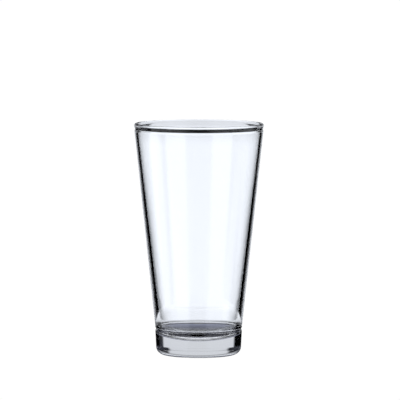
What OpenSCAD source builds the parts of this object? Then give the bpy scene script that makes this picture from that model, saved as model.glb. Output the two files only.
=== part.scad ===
// Tapered mixing glass for bar work, pressed in one piece of clear glass.
// The axis is Z, the glass stands on Z = 0 and the origin is the centre of its base.
// The whole glass is one turned section. The section is a chain of circles joined by
// their common tangents, so every round in it is a true arc.

/* [Overall] */
// Height from the standing ring to the top of the rim
height = 158.8; // [120:0.1:190]
// Outside diameter of the rim bead, the widest part of the glass
rim_d = 88.9; // [80:0.1:100]

/* [Rim] */
// Radius of the round rim bead
lip_r = 1.45; // [1.2:0.05:1.6]
// Depth of the groove under the bead, below its widest part
rim_groove_inset = 0.6; // [0.5:0.05:0.8]
// Depth of the neck's surface below the widest part of the bead
neck_inset = 0.3; // [0.1:0.05:0.4]
// Radius of the neck's round under the groove
neck_r = 2.5; // [1:0.1:6]
// Thickness of the wall at the neck, where it is thinnest
neck_t = 2.05; // [1.8:0.05:2.4]

/* [Foot] */
// Height of the groove between the foot and the wall
foot_h = 17.8; // [14:0.1:24]
// Diameter of the wall at the shoulder above the foot groove
shoulder_d = 59.5; // [56:0.1:60.4]
// Diameter of the foot at its top
foot_top_d = 59.4; // [58.6:0.1:62]
// Diameter of the foot just above its bottom round
foot_bottom_d = 58.3; // [56:0.1:60]
// Depth of the foot groove, below the shoulder
foot_groove_inset = 0.55; // [0.4:0.05:1]
// Radius of the round between the foot's side and the standing ring
foot_corner_r = 5.5; // [2:0.1:7]

/* [Well] */
// Thickness of the solid base on the axis, above the standing ring
base_t = 10.5; // [6:0.1:15]
// Thickness of the wall at the shoulder
wall_bottom_t = 3.2; // [2.4:0.1:5]
// Radius of the round between the wall and the floor of the well
well_corner_r = 9; // [5:0.5:15]
// Radius of the well's dished floor
floor_r = 60; // [45:1:120]

/* [Underside] */
// Radius of the hollow inside the standing ring
hollow_r = 21; // [16:0.5:23]
// Depth of the hollow on the axis
hollow_depth = 0.5; // [0.3:0.1:1.5]

/* [Hidden] */
$fn = 180;

clear_glass = [0.87, 0.91, 0.94, 0.35];
rim_groove_r = 1.2;
rim_groove_drop = 4;
inner_neck_r = 3;
inner_neck_drop = 4.6;
foot_groove_r = 0.9;
foot_round_r = 1.2;
shoulder_round_r = 0.9;
overshoot = 5;
// Neighbouring outlines cross by this much where they would only touch
seam = 0.003;

// A circle of the section is [r, z, radius].
function centre(c) = [c[0], c[1]];
function radius(c) = c[2];

// The circle of a given radius whose widest point is at r = widest
function round_at(widest, z, r) = [widest - r, z, r];

// The height step from circle a to a circle that touches it from outside
function touching_step(a, b_pos, b_radius) =
    sqrt(pow(radius(a) + b_radius - seam, 2) - pow(b_pos - a[0], 2));

// The outward normal's angle on the tangent of two circles, a below b, on the side
// away from the axis. A negative radius takes that circle's other side.
function tangent_angle(a, b) =
    let (d = centre(b) - centre(a))
    atan2(d.y, d.x) - acos((radius(a) - radius(b)) / norm(d));

// The point of a circle at an angle, a seam inside it
function on_circle(c, angle) =
    centre(c) + (radius(c) - sign(radius(c)) * seam) * [cos(angle), sin(angle)];

// The same circle for a tangent that runs on its other side
function other_side(c) = [c[0], c[1], -radius(c)];

// Rim, from the top down: bead, groove and neck outside, and a neck inside
lip = round_at(rim_d / 2, height - lip_r, lip_r);
rim_groove_z = height - rim_groove_drop;
rim_groove = [rim_d / 2 - rim_groove_inset + rim_groove_r, rim_groove_z, rim_groove_r];
neck_pos = rim_d / 2 - neck_inset - neck_r;
neck = [neck_pos, rim_groove_z - touching_step(rim_groove, neck_pos, neck_r), neck_r];
inner_neck = round_at(rim_d / 2 - neck_inset - neck_t, height - inner_neck_drop, inner_neck_r);

// Foot, from the groove up and down
foot_groove = [shoulder_d / 2 - foot_groove_inset + foot_groove_r, foot_h, foot_groove_r];
shoulder_pos = shoulder_d / 2 - shoulder_round_r;
shoulder_z = foot_h + touching_step(foot_groove, shoulder_pos, shoulder_round_r);
shoulder = [shoulder_pos, shoulder_z, shoulder_round_r];
foot_top_pos = foot_top_d / 2 - foot_round_r;
foot_top_z = foot_h - touching_step(foot_groove, foot_top_pos, foot_round_r);
foot_top = [foot_top_pos, foot_top_z, foot_round_r];
foot_corner = round_at(foot_bottom_d / 2, foot_corner_r, foot_corner_r);

// Well: the corner circle touches the dished floor from inside, and its side is
// wall_bottom_t inside the shoulder
floor_dish = [0, base_t + floor_r, floor_r];
well_corner_pos = shoulder_d / 2 - wall_bottom_t - well_corner_r;
corner_to_dish = floor_r - well_corner_r + seam;
well_corner_z = floor_dish[1] - sqrt(pow(corner_to_dish, 2) - pow(well_corner_pos, 2));
well_corner = [well_corner_pos, well_corner_z, well_corner_r];

foot_side = tangent_angle(foot_corner, foot_top);
wall_outside = tangent_angle(shoulder, neck);
rim_flank = tangent_angle(other_side(rim_groove), lip);
wall_inside = tangent_angle(well_corner, inner_neck);
inner_flank = tangent_angle(inner_neck, other_side(lip));
well_mouth = on_circle(other_side(lip), inner_flank);
floor_join = atan2(well_corner_z - floor_dish[1], well_corner_pos);

module disc(c) {
    translate(centre(c)) circle(r = radius(c));
}

// Everything inside the outer surface, up to the middle of the lip
module outside() {
    difference() {
        union() {
            polygon([
                [0, 0],
                [foot_corner[0], 0],
                centre(foot_corner),
                on_circle(foot_corner, foot_side),
                on_circle(foot_top, foot_side),
                centre(foot_top),
                centre(foot_groove),
                centre(shoulder),
                on_circle(shoulder, wall_outside),
                on_circle(neck, wall_outside),
                centre(neck),
                centre(rim_groove),
                on_circle(other_side(rim_groove), rim_flank),
                on_circle(lip, rim_flank),
                centre(lip),
                well_mouth,
                [0, well_mouth.y]
            ]);
            disc(foot_corner);
            disc(foot_top);
            disc(shoulder);
            disc(neck);
        }
        disc(foot_groove);
        disc(rim_groove);
    }
}

// The space that holds the drink
module well() {
    polygon([
        [0, well_corner_z],
        centre(well_corner),
        on_circle(well_corner, wall_inside),
        on_circle(inner_neck, wall_inside),
        centre(inner_neck),
        on_circle(inner_neck, inner_flank),
        well_mouth,
        centre(lip),
        [lip[0], height + overshoot],
        [0, height + overshoot]
    ]);
    disc(well_corner);
    disc(inner_neck);
    intersection() {
        disc(floor_dish);
        polygon([
            centre(floor_dish),
            [0, 0],
            centre(floor_dish) + 2 * floor_r * [cos(floor_join), sin(floor_join)]
        ]);
    }
}

// The shallow hollow that leaves a standing ring under the foot
module hollow() {
    dome_r = (pow(hollow_r, 2) + pow(hollow_depth, 2)) / (2 * hollow_depth);
    translate([0, hollow_depth - dome_r]) circle(r = dome_r);
}

module section() {
    intersection() {
        union() {
            difference() {
                outside();
                well();
                hollow();
            }
            disc(lip);
        }
        square([rim_d, height]);
    }
}

module glass() {
    color(clear_glass) rotate_extrude() section();
}

glass();
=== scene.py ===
import math

import bpy
from mathutils import Matrix, Vector


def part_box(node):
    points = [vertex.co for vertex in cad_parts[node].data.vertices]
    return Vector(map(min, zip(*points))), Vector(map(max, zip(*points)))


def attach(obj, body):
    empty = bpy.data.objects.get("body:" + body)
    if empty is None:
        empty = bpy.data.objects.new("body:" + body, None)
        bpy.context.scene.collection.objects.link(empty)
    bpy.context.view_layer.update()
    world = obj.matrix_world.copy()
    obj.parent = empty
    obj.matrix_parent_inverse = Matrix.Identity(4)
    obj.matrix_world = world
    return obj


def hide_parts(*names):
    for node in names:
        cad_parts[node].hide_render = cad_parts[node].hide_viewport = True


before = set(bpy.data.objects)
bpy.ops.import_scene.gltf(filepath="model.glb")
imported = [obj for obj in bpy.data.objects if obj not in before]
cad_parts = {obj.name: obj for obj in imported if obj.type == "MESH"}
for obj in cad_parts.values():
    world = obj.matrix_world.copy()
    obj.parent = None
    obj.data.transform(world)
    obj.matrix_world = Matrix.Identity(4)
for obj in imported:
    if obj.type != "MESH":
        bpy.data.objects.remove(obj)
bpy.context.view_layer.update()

MM = 0.001
DEGREE = math.radians(1)


# ---------------------------------------------------------------- driving sizes
# The glass is a turned section: a chain of circles joined by common tangents.
# Its height and rim come from the frame, and the rest follows them, in metres.

low_corner, high_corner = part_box("glass")
HEIGHT = high_corner.z
RIM_RADIUS = (high_corner.x - low_corner.x) / 2

LIP_RADIUS = 1.45 * MM
RIM_GROOVE_DROP = 4 * MM
RIM_GROOVE_INSET = 0.6 * MM
RIM_GROOVE_ROUND = 1.2 * MM
NECK_INSET = 0.3 * MM
NECK_ROUND = 2.5 * MM
NECK_THICKNESS = 2.05 * MM
INNER_NECK_DROP = 4.6 * MM
INNER_NECK_ROUND = 3 * MM

FOOT_HEIGHT = 17.8 * MM
SHOULDER_RADIUS = 29.75 * MM
SHOULDER_ROUND = 0.9 * MM
FOOT_TOP_RADIUS = 29.7 * MM
FOOT_TOP_ROUND = 1.2 * MM
FOOT_BOTTOM_RADIUS = 29.15 * MM
FOOT_CORNER_ROUND = 5.5 * MM
FOOT_GROOVE_INSET = 0.55 * MM
FOOT_GROOVE_ROUND = 0.9 * MM

BASE_THICKNESS = 10.5 * MM
WALL_BOTTOM_THICKNESS = 3.2 * MM
WELL_CORNER_ROUND = 9 * MM
FLOOR_ROUND = 60 * MM
HOLLOW_RADIUS = 21 * MM
HOLLOW_DEPTH = 0.5 * MM

SEGMENTS = 384
ARC_STEP = 5 * DEGREE
LEAST_ARC_STEPS = 4
LINE_STEP = 3 * MM


# ---------------------------------------------------------------- section
class Round:
    """A circle of the section: its centre's radius and height, and its own radius."""

    def __init__(self, r, z, radius):
        self.r = r
        self.z = z
        self.radius = radius

    def angle_to(self, other):
        return math.atan2(other.z - self.z, other.r - self.r)

    def other_side(self):
        return Round(self.r, self.z, -self.radius)

    def point(self, angle):
        return (self.r + self.radius * math.cos(angle), self.z + self.radius * math.sin(angle))


def touching_from_below(upper, r, radius):
    """The circle under another one that touches it from outside."""
    reach = upper.radius + radius
    return Round(r, upper.z - math.sqrt(reach ** 2 - (r - upper.r) ** 2), radius)


def touching_from_above(lower, r, radius):
    """The circle over another one that touches it from outside."""
    reach = lower.radius + radius
    return Round(r, lower.z + math.sqrt(reach ** 2 - (r - lower.r) ** 2), radius)


def tangent_angle(a, b):
    """The outward normal's angle on the tangent of two circles, a below b."""
    distance = math.hypot(b.r - a.r, b.z - a.z)
    return a.angle_to(b) - math.acos((a.radius - b.radius) / distance)


def arc(circle, start, end):
    """Points along a circle from one angle to another, both included."""
    steps = max(LEAST_ARC_STEPS, math.ceil(abs(end - start) / ARC_STEP))
    return [circle.point(start + (end - start) * i / steps) for i in range(steps + 1)]


def line(a, b):
    """Points between two ends, without the ends."""
    steps = max(1, round(math.dist(a, b) / LINE_STEP))
    return [
        (a[0] + (b[0] - a[0]) * i / steps, a[1] + (b[1] - a[1]) * i / steps)
        for i in range(1, steps)
    ]


def glass_section():
    """The section from the middle of the underside, up the outside, over the lip and
    down the inside to the middle of the well's floor."""
    lip = Round(RIM_RADIUS - LIP_RADIUS, HEIGHT - LIP_RADIUS, LIP_RADIUS)
    groove_r = RIM_RADIUS - RIM_GROOVE_INSET + RIM_GROOVE_ROUND
    rim_groove = Round(groove_r, HEIGHT - RIM_GROOVE_DROP, RIM_GROOVE_ROUND)
    neck = touching_from_below(rim_groove, RIM_RADIUS - NECK_INSET - NECK_ROUND, NECK_ROUND)
    inner_neck_r = RIM_RADIUS - NECK_INSET - NECK_THICKNESS - INNER_NECK_ROUND
    inner_neck = Round(inner_neck_r, HEIGHT - INNER_NECK_DROP, INNER_NECK_ROUND)

    foot_groove_r = SHOULDER_RADIUS - FOOT_GROOVE_INSET + FOOT_GROOVE_ROUND
    foot_groove = Round(foot_groove_r, FOOT_HEIGHT, FOOT_GROOVE_ROUND)
    shoulder = touching_from_above(foot_groove, SHOULDER_RADIUS - SHOULDER_ROUND, SHOULDER_ROUND)
    foot_top = touching_from_below(foot_groove, FOOT_TOP_RADIUS - FOOT_TOP_ROUND, FOOT_TOP_ROUND)
    foot_corner_r = FOOT_BOTTOM_RADIUS - FOOT_CORNER_ROUND
    foot_corner = Round(foot_corner_r, FOOT_CORNER_ROUND, FOOT_CORNER_ROUND)

    well_floor = Round(0, BASE_THICKNESS + FLOOR_ROUND, FLOOR_ROUND)
    corner_r = SHOULDER_RADIUS - WALL_BOTTOM_THICKNESS - WELL_CORNER_ROUND
    corner_drop = math.sqrt((FLOOR_ROUND - WELL_CORNER_ROUND) ** 2 - corner_r ** 2)
    well_corner = Round(corner_r, well_floor.z - corner_drop, WELL_CORNER_ROUND)

    hollow_round = (HOLLOW_RADIUS ** 2 + HOLLOW_DEPTH ** 2) / (2 * HOLLOW_DEPTH)
    hollow = Round(0, HOLLOW_DEPTH - hollow_round, hollow_round)

    foot_side = tangent_angle(foot_corner, foot_top)
    wall_outside = tangent_angle(shoulder, neck)
    rim_flank = tangent_angle(rim_groove.other_side(), lip)
    wall_inside = tangent_angle(well_corner, inner_neck)
    inner_flank = tangent_angle(inner_neck, lip.other_side())
    floor_join = well_floor.angle_to(well_corner)
    foot_groove_start = foot_groove.angle_to(foot_top) % math.tau
    rim_groove_start = rim_groove.angle_to(neck) % math.tau

    points = arc(hollow, math.pi / 2, hollow.angle_to(Round(HOLLOW_RADIUS, 0, 0)))
    points += arc(foot_corner, -math.pi / 2, foot_side)
    points += line(foot_corner.point(foot_side), foot_top.point(foot_side))
    points += arc(foot_top, foot_side, foot_top.angle_to(foot_groove))
    points += arc(foot_groove, foot_groove_start, foot_groove.angle_to(shoulder))[1:-1]
    points += arc(shoulder, shoulder.angle_to(foot_groove), wall_outside)
    points += line(shoulder.point(wall_outside), neck.point(wall_outside))
    points += arc(neck, wall_outside, neck.angle_to(rim_groove))
    points += arc(rim_groove, rim_groove_start, math.pi + rim_flank)[1:]
    points += arc(lip, rim_flank, math.pi + inner_flank)
    points += arc(inner_neck, inner_flank, wall_inside)
    points += line(inner_neck.point(wall_inside), well_corner.point(wall_inside))
    points += arc(well_corner, wall_inside, floor_join)
    points += arc(well_floor, floor_join, -math.pi / 2)[1:]
    return points


# ---------------------------------------------------------------- glass
def lathe(name, section):
    """Turns a section whose two ends lie on the Z axis into a closed smooth mesh."""
    verts = [(0, 0, section[0][1])]
    for r, z in section[1:-1]:
        for i in range(SEGMENTS):
            angle = math.tau * i / SEGMENTS
            verts.append((r * math.cos(angle), r * math.sin(angle), z))
    verts.append((0, 0, section[-1][1]))
    top = len(verts) - 1
    rings = len(section) - 2
    faces = []
    for i in range(SEGMENTS):
        j = (i + 1) % SEGMENTS
        faces.append((0, 1 + j, 1 + i))
        for ring in range(rings - 1):
            a = 1 + ring * SEGMENTS
            b = a + SEGMENTS
            faces.append((a + i, a + j, b + j, b + i))
        last = 1 + (rings - 1) * SEGMENTS
        faces.append((last + i, last + j, top))
    mesh = bpy.data.meshes.new(name)
    mesh.from_pydata(verts, [], faces)
    mesh.shade_smooth()
    piece = bpy.data.objects.new(name, mesh)
    bpy.context.scene.collection.objects.link(piece)
    return piece


GLASS_COLOR = (0.985, 0.992, 1.0)
GLASS_IOR = 1.52
RIPPLE_SIZE = 14 * MM
RIPPLE_DETAIL = 1
RIPPLE_DEPTH = 0.012 * MM
# The haze rises from HAZE_LEAST to HAZE_MOST as its noise goes from HAZE_FROM to HAZE_TO.
HAZE_SIZE = 9 * MM
HAZE_DETAIL = 3
HAZE_FROM = 0.35
HAZE_TO = 0.7
HAZE_LEAST = 0
HAZE_MOST = 0.012


def noise(nodes, links, size, detail):
    """A noise in the object's own coordinates, with features of about a given size."""
    place = nodes.new("ShaderNodeTexCoord")
    texture = nodes.new("ShaderNodeTexNoise")
    texture.inputs["Scale"].default_value = 1 / size
    texture.inputs["Detail"].default_value = detail
    links.new(place.outputs["Object"], texture.inputs["Vector"])
    return texture.outputs["Fac"]


def clear_glass():
    """Fire-polished soda-lime glass: clear, with a faint ripple and a faint haze."""
    material = bpy.data.materials.new("clear_glass")
    material.use_nodes = True
    nodes = material.node_tree.nodes
    links = material.node_tree.links
    shader = nodes["Principled BSDF"]
    shader.inputs["Base Color"].default_value = (*GLASS_COLOR, 1)
    shader.inputs["Transmission Weight"].default_value = 1
    shader.inputs["IOR"].default_value = GLASS_IOR

    haze = nodes.new("ShaderNodeMapRange")
    haze.inputs["From Min"].default_value = HAZE_FROM
    haze.inputs["From Max"].default_value = HAZE_TO
    haze.inputs["To Min"].default_value = HAZE_LEAST
    haze.inputs["To Max"].default_value = HAZE_MOST
    links.new(noise(nodes, links, HAZE_SIZE, HAZE_DETAIL), haze.inputs["Value"])
    links.new(haze.outputs["Result"], shader.inputs["Roughness"])

    ripple = nodes.new("ShaderNodeBump")
    ripple.inputs["Strength"].default_value = 1
    ripple.inputs["Distance"].default_value = RIPPLE_DEPTH
    links.new(noise(nodes, links, RIPPLE_SIZE, RIPPLE_DETAIL), ripple.inputs["Height"])
    links.new(ripple.outputs["Normal"], shader.inputs["Normal"])
    return material


# ---------------------------------------------------------------- stage
# Bright-field light, as glass is usually photographed: a plain white floor and
# background, with pale cards close round the glass. The cards and the dark between
# them show only through the glass and in its reflections.
#
# Headings are in degrees, 0 along +X and 90 straight behind the glass. A span of
# headings is its centre, its half width and half the width of its soft edge.

COOL_WHITE = (0.97, 1.0, 1.06)
PLAIN_WHITE = 1.02
SHEET_LIGHT = 1.05
HORIZON_LIGHT = 0.7

FLOOR_RADIUS = 5
FLOOR_DROP = 0.2 * MM

# The near card: curved, cut to the glass's outline, and black above its lit part
CARD_DISTANCE = 60 * MM
CARD_TURN = 64
CARD_LOW = 21 * MM
CARD_LOW_EDGE = 6 * MM
CARD_TOP = 240 * MM
CARD_LIT_TOP = 161 * MM
CARD_LIGHT = 1.13
CARD_TOP_LIGHT = 0.8
CARD_DIMS_FROM = 138 * MM
CARD_DIMS_TO = 156 * MM
# Where its sides start and end to clear, in half widths of the glass, and how much
# further out that is at the rim
CARD_INNER = 0.86
CARD_OUTER = 1.38
CARD_RIM_WIDER = 0.15
CARD_RIM_FROM = 146 * MM
CARD_RIM_TO = 152 * MM

FAR_CARD_DISTANCE = 150 * MM
FAR_CARD_WIDTH = 180 * MM
FAR_CARD_LOW = 14 * MM
FAR_CARD_TOP = 64 * MM
FAR_CARD_EDGE = 26 * MM

STRIP_HEIGHT = 16 * MM
STRIP_NEAR = 30.5 * MM
STRIP_FAR = 44 * MM
STRIP_WIDTH = 50 * MM
STRIP_LIGHT = 0.4

FLAG_TOP = 13 * MM
FLAG_LEFT = (113, 164)
FLAG_RIGHT = (67, 2)

# The floor that the glass sees brightens from SHADE_INNER out to SHADE_RADIUS, a painted shadow
# round the foot.
SHADE_RADIUS = 155 * MM
SHADE_DROP = 0.1 * MM
SHADE_INNER = 18 * MM
SHADE_LEAST = 0.02
SHADE_COLOR = (0.94, 1.0, 1.3)
TINT_FROM = 60 * MM
TINT_TO = 110 * MM
SHADE_BACK = 0.85
BACK_SPAN = (90, 50, 8)
SIDES_LIGHT = 0.35
SIDES_FADE_FROM = 80 * MM
LEFT_SPAN = (143, 23, 6)
RIGHT_SPAN = (37, 23, 6)
CAMERA_SPAN = (-92, 20, 6)

# The room that the glass sees: lit windows near the horizon, dark gaps below them
# beside the glass, and almost nothing above
SURROUND_LIGHT = 0.01
CAMERA_SIDE_LIGHT = 0.25
CAMERA_SIDE_SPAN = (-90, 22, 14)
LEVEL_WINDOWS = ((90, 13, 9), (180, 14, 6), (-45, 20, 5), (-135, 20, 5))
HIGH_WINDOWS = ((90, 45, 3), (180, 14, 6), (-45, 20, 5))
LOW_GAPS = ((108, 8, 2), (162, 8, 2))
# Rises in degrees between which one part of the room gives way to the next
LOW_TO_LEVEL = (-20, -16)
LEVEL_TO_HIGH = (-5.2, -4.2)
HIGH_TO_SURROUND = (4, 5.5)


class Wiring:
    """Small helpers that add and join nodes in one tree."""

    def __init__(self, tree):
        self.nodes = tree.nodes
        self.links = tree.links

    def put(self, value, socket):
        """Sets a socket to a number, or joins another node's socket to it."""
        if isinstance(value, (int, float)):
            socket.default_value = value
        else:
            self.links.new(value, socket)

    def math(self, operation, *values):
        node = self.nodes.new("ShaderNodeMath")
        node.operation = operation
        for value, socket in zip(values, node.inputs):
            self.put(value, socket)
        return node.outputs[0]

    def position(self):
        """The place that is being shaded, in metres."""
        return self.nodes.new("ShaderNodeNewGeometry").outputs["Position"]

    def split(self, vector):
        """The X, Y and Z of a vector."""
        node = self.nodes.new("ShaderNodeSeparateXYZ")
        self.links.new(vector, node.inputs[0])
        return node.outputs

    def length(self, vector):
        node = self.nodes.new("ShaderNodeVectorMath")
        node.operation = "LENGTH"
        self.links.new(vector, node.inputs[0])
        return node.outputs["Value"]

    def fade(self, value, start, end):
        """0 before start, 1 after end, and smooth between."""
        node = self.nodes.new("ShaderNodeMapRange")
        node.interpolation_type = "SMOOTHSTEP"
        for name, number in (("Value", value), ("From Min", start), ("From Max", end)):
            self.put(number, node.inputs[name])
        return node.outputs["Result"]

    def rest(self, share):
        return self.math("SUBTRACT", 1, share)

    def mix(self, share, a, b):
        """a where share is 0, b where it is 1."""
        return self.math(
            "ADD",
            self.math("MULTIPLY", a, self.rest(share)),
            self.math("MULTIPLY", b, share),
        )

    def brightest(self, *values):
        total = values[0]
        for value in values[1:]:
            total = self.math("MAXIMUM", total, value)
        return total

    def heading(self, x, y):
        return self.math("DEGREES", self.math("ARCTAN2", y, x))

    def within(self, heading, span):
        """1 where a heading is inside a span, 0 away from it."""
        centre, half_width, edge = span
        turned = self.math("FLOORED_MODULO", self.math("ADD", heading, 540 - centre), 360)
        off = self.math("ABSOLUTE", self.math("SUBTRACT", turned, 180))
        return self.rest(self.fade(off, half_width - edge, half_width + edge))

    def within_any(self, heading, spans):
        return self.brightest(*[self.within(heading, span) for span in spans])


def new_object(name, verts, faces, material):
    mesh = bpy.data.meshes.new(name)
    mesh.from_pydata(verts, [], faces)
    mesh.materials.append(material)
    o = bpy.data.objects.new(name, mesh)
    bpy.context.scene.collection.objects.link(o)
    return o


def glow(name, color, strength):
    """An even light of its own, and the node that makes it."""
    material = bpy.data.materials.new(name)
    material.use_nodes = True
    nodes = material.node_tree.nodes
    nodes.clear()
    emission = nodes.new("ShaderNodeEmission")
    emission.inputs["Color"].default_value = (*color, 1)
    emission.inputs["Strength"].default_value = strength
    output = nodes.new("ShaderNodeOutputMaterial")
    material.node_tree.links.new(emission.outputs["Emission"], output.inputs["Surface"])
    return material, emission


def cut_out(w, solid, emission):
    """Makes a screen clear where solid is 0 and leaves its light where it is 1."""
    clear = w.nodes.new("ShaderNodeBsdfTransparent")
    cut = w.nodes.new("ShaderNodeMixShader")
    w.put(solid, cut.inputs["Fac"])
    w.links.new(clear.outputs[0], cut.inputs[1])
    w.links.new(emission.outputs[0], cut.inputs[2])
    w.links.new(cut.outputs[0], w.nodes["Material Output"].inputs["Surface"])


def disc(name, radius, z, material, steps=96):
    verts = []
    for i in range(steps):
        angle = math.tau * i / steps
        verts.append((radius * math.cos(angle), radius * math.sin(angle), z))
    o = new_object(name, verts, [tuple(range(steps))], material)
    return o


def upright(name, corners, low, top, material):
    """An upright screen over a chain of floor points, hidden from the camera."""
    verts = [(x, y, low) for x, y in corners] + [(x, y, top) for x, y in corners]
    n = len(corners)
    faces = [(i, i + 1, n + i + 1, n + i) for i in range(n - 1)]
    o = new_object(name, verts, faces, material)
    o.visible_camera = False


def arc_corners(start, end, steps=24):
    """Floor points round the glass at the near card's distance, between two headings."""
    corners = []
    for i in range(steps + 1):
        angle = (start + (end - start) * i / steps) * DEGREE
        corners.append((CARD_DISTANCE * math.cos(angle), CARD_DISTANCE * math.sin(angle)))
    return corners


def white_floor():
    """The plain floor that the camera sees."""
    material, _ = glow("floor", (1, 1, 1), PLAIN_WHITE)
    o = disc("floor", FLOOR_RADIUS, -FLOOR_DROP, material)
    o.visible_diffuse = False
    o.visible_glossy = False
    o.visible_transmission = False


def floor_near_glass():
    """The floor that the glass sees, a glowing disc: a painted shadow near the foot, and painted
    shade beside it and towards the camera.
    """
    material, emission = glow("floor_shade", SHADE_COLOR, 1)
    w = Wiring(material.node_tree)
    place = w.position()
    x, y, _ = w.split(place)
    heading = w.heading(x, y)
    distance = w.length(place)
    # Painted contact shadow: the glow rises with distance from the foot.
    away = w.math("SUBTRACT", distance, SHADE_INNER)
    away = w.math("DIVIDE", away, SHADE_RADIUS - SHADE_INNER)
    away = w.math("MAXIMUM", away, SHADE_LEAST)

    front = w.math("MULTIPLY", away, SHEET_LIGHT)
    back = w.math("MINIMUM", w.math("MULTIPLY", away, SHADE_BACK), HORIZON_LIGHT)
    level = w.mix(w.within(heading, BACK_SPAN), front, back)
    # Painted shade: darker at the sides near the glass and towards the camera.
    sides = w.within_any(heading, (LEFT_SPAN, RIGHT_SPAN))
    near = w.rest(w.fade(distance, SIDES_FADE_FROM, SHADE_RADIUS))
    sides = w.math("MULTIPLY", w.math("MULTIPLY", sides, near), 1 - SIDES_LIGHT)
    dark = w.brightest(sides, w.within(heading, CAMERA_SPAN))
    w.put(w.math("MULTIPLY", level, w.rest(dark)), emission.inputs["Strength"])

    tint = w.nodes.new("ShaderNodeMix")
    tint.data_type = "RGBA"
    w.put(w.fade(distance, TINT_FROM, TINT_TO), tint.inputs["Factor"])
    tint.inputs["A"].default_value = (*SHADE_COLOR, 1)
    tint.inputs["B"].default_value = (*COOL_WHITE, 1)
    w.put(tint.outputs["Result"], emission.inputs["Color"])
    o = disc("floor_shade", SHADE_RADIUS, -SHADE_DROP, material)
    o.visible_camera = False


def card_behind():
    """A pale card close behind the glass, cut to its outline, black above its light."""
    material, emission = glow("card", COOL_WHITE, 1)
    w = Wiring(material.node_tree)
    x, _, z = w.split(w.position())
    taper = (RIM_RADIUS - SHOULDER_RADIUS) / HEIGHT
    half_width = w.math("MULTIPLY_ADD", z, taper, SHOULDER_RADIUS)
    off = w.math("DIVIDE", w.math("ABSOLUTE", x), half_width)
    at_rim = w.fade(z, CARD_RIM_FROM, CARD_RIM_TO)
    off = w.math("SUBTRACT", off, w.math("MULTIPLY", at_rim, CARD_RIM_WIDER))
    across = w.rest(w.fade(off, CARD_INNER, CARD_OUTER))
    bottom = w.fade(z, CARD_LOW, CARD_LOW + CARD_LOW_EDGE)
    above = w.fade(z, CARD_LIT_TOP, CARD_LIT_TOP + MM)
    light = w.mix(w.fade(z, CARD_DIMS_FROM, CARD_DIMS_TO), CARD_LIGHT, CARD_TOP_LIGHT)
    w.put(w.mix(above, light, 0), emission.inputs["Strength"])
    cut_out(w, w.brightest(w.math("MULTIPLY", across, bottom), above), emission)
    corners = arc_corners(90 - CARD_TURN, 90 + CARD_TURN)
    upright("card_behind", corners, CARD_LOW, CARD_TOP, material)


def far_card():
    """A dim card far behind the foot, with soft edges."""
    material, emission = glow("far_card", COOL_WHITE, HORIZON_LIGHT)
    w = Wiring(material.node_tree)
    x, _, z = w.split(w.position())
    side = FAR_CARD_WIDTH / 2
    past_top = w.fade(z, FAR_CARD_TOP - FAR_CARD_EDGE, FAR_CARD_TOP)
    past_side = w.fade(w.math("ABSOLUTE", x), side - FAR_CARD_EDGE, side)
    cut_out(w, w.rest(w.brightest(past_top, past_side)), emission)
    corners = [(side, FAR_CARD_DISTANCE), (-side, FAR_CARD_DISTANCE)]
    upright("far_card", corners, FAR_CARD_LOW, FAR_CARD_TOP, material)


def strip():
    """A dim level strip close behind the top of the foot."""
    side = STRIP_WIDTH / 2
    corners = [(-side, STRIP_NEAR), (side, STRIP_NEAR), (side, STRIP_FAR), (-side, STRIP_FAR)]
    verts = [(x, y, STRIP_HEIGHT) for x, y in corners]
    material, _ = glow("strip", COOL_WHITE, STRIP_LIGHT)
    o = new_object("strip", verts, [(0, 1, 2, 3)], material)
    o.visible_camera = False


def flag(name, turns):
    """A low black screen round one side of the foot."""
    material, _ = glow("black_flag", (0, 0, 0), 0)
    upright(name, arc_corners(*turns), 0, FLAG_TOP, material)


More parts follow.
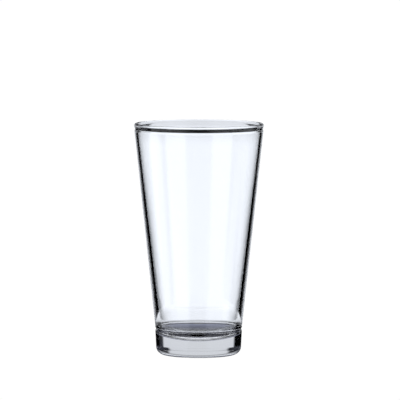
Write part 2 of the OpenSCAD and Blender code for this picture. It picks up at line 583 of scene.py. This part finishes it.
def studio_world():
    """Plain white to the camera, and a room with lit windows to the glass."""
    world = bpy.data.worlds.new("studio")
    world.use_nodes = True
    world.node_tree.nodes.clear()
    bpy.context.scene.world = world
    w = Wiring(world.node_tree)
    x, y, z = w.split(w.nodes.new("ShaderNodeTexCoord").outputs["Generated"])
    heading = w.heading(x, y)
    rise = w.math("DEGREES", w.math("ARCSINE", z))

    level = w.within_any(heading, LEVEL_WINDOWS)
    high = w.math("MULTIPLY", w.within_any(heading, HIGH_WINDOWS), HORIZON_LIGHT)
    low = w.rest(w.within_any(heading, LOW_GAPS))
    low = w.mix(w.within(heading, CAMERA_SIDE_SPAN), low, CAMERA_SIDE_LIGHT)
    light = w.mix(w.fade(rise, *LOW_TO_LEVEL), low, level)
    light = w.mix(w.fade(rise, *LEVEL_TO_HIGH), w.math("MULTIPLY", light, SHEET_LIGHT), high)
    light = w.mix(w.fade(rise, *HIGH_TO_SURROUND), light, SURROUND_LIGHT)

    seen = w.nodes.new("ShaderNodeBackground")
    seen.inputs["Color"].default_value = (*COOL_WHITE, 1)
    w.put(light, seen.inputs["Strength"])
    plain = w.nodes.new("ShaderNodeBackground")
    plain.inputs["Color"].default_value = (1, 1, 1, 1)
    plain.inputs["Strength"].default_value = PLAIN_WHITE
    choose = w.nodes.new("ShaderNodeMixShader")
    w.put(w.nodes.new("ShaderNodeLightPath").outputs["Is Camera Ray"], choose.inputs["Fac"])
    w.links.new(seen.outputs[0], choose.inputs[1])
    w.links.new(plain.outputs[0], choose.inputs[2])
    output = w.nodes.new("ShaderNodeOutputWorld")
    w.links.new(choose.outputs[0], output.inputs["Surface"])


def studio():
    white_floor()
    floor_near_glass()
    card_behind()
    far_card()
    strip()
    flag("flag_left", FLAG_LEFT)
    flag("flag_right", FLAG_RIGHT)
    studio_world()


# ---------------------------------------------------------------- camera
CAMERA_DISTANCE = 3
CAMERA_RISE = 4.64 * DEGREE
CAMERA_AIM = (0.8 * MM, 0, 106.1 * MM)
CAMERA_ROLL = 0.1 * DEGREE
CAMERA_LENS = 394.2
CAMERA_SENSOR = 36
CAMERA_REACH = 4 * FLOOR_RADIUS


def photo_camera():
    data = bpy.data.cameras.new("camera")
    data.sensor_width = CAMERA_SENSOR
    data.lens = CAMERA_LENS
    data.clip_end = CAMERA_REACH
    back = Vector((0, -math.cos(CAMERA_RISE), math.sin(CAMERA_RISE)))
    place = Matrix.Translation(Vector(CAMERA_AIM) + back * CAMERA_DISTANCE)
    turn = (-back).to_track_quat("-Z", "Y").to_matrix().to_4x4()
    camera = bpy.data.objects.new("camera", data)
    bpy.context.scene.collection.objects.link(camera)
    camera.matrix_world = place @ turn @ Matrix.Rotation(CAMERA_ROLL, 4, "Z")
    bpy.context.scene.camera = camera


glass = lathe("mixing_glass", glass_section())
glass.data.materials.append(clear_glass())
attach(glass, "root")
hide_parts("glass")

studio()
photo_camera()
bpy.context.scene.view_settings.view_transform = "Standard"
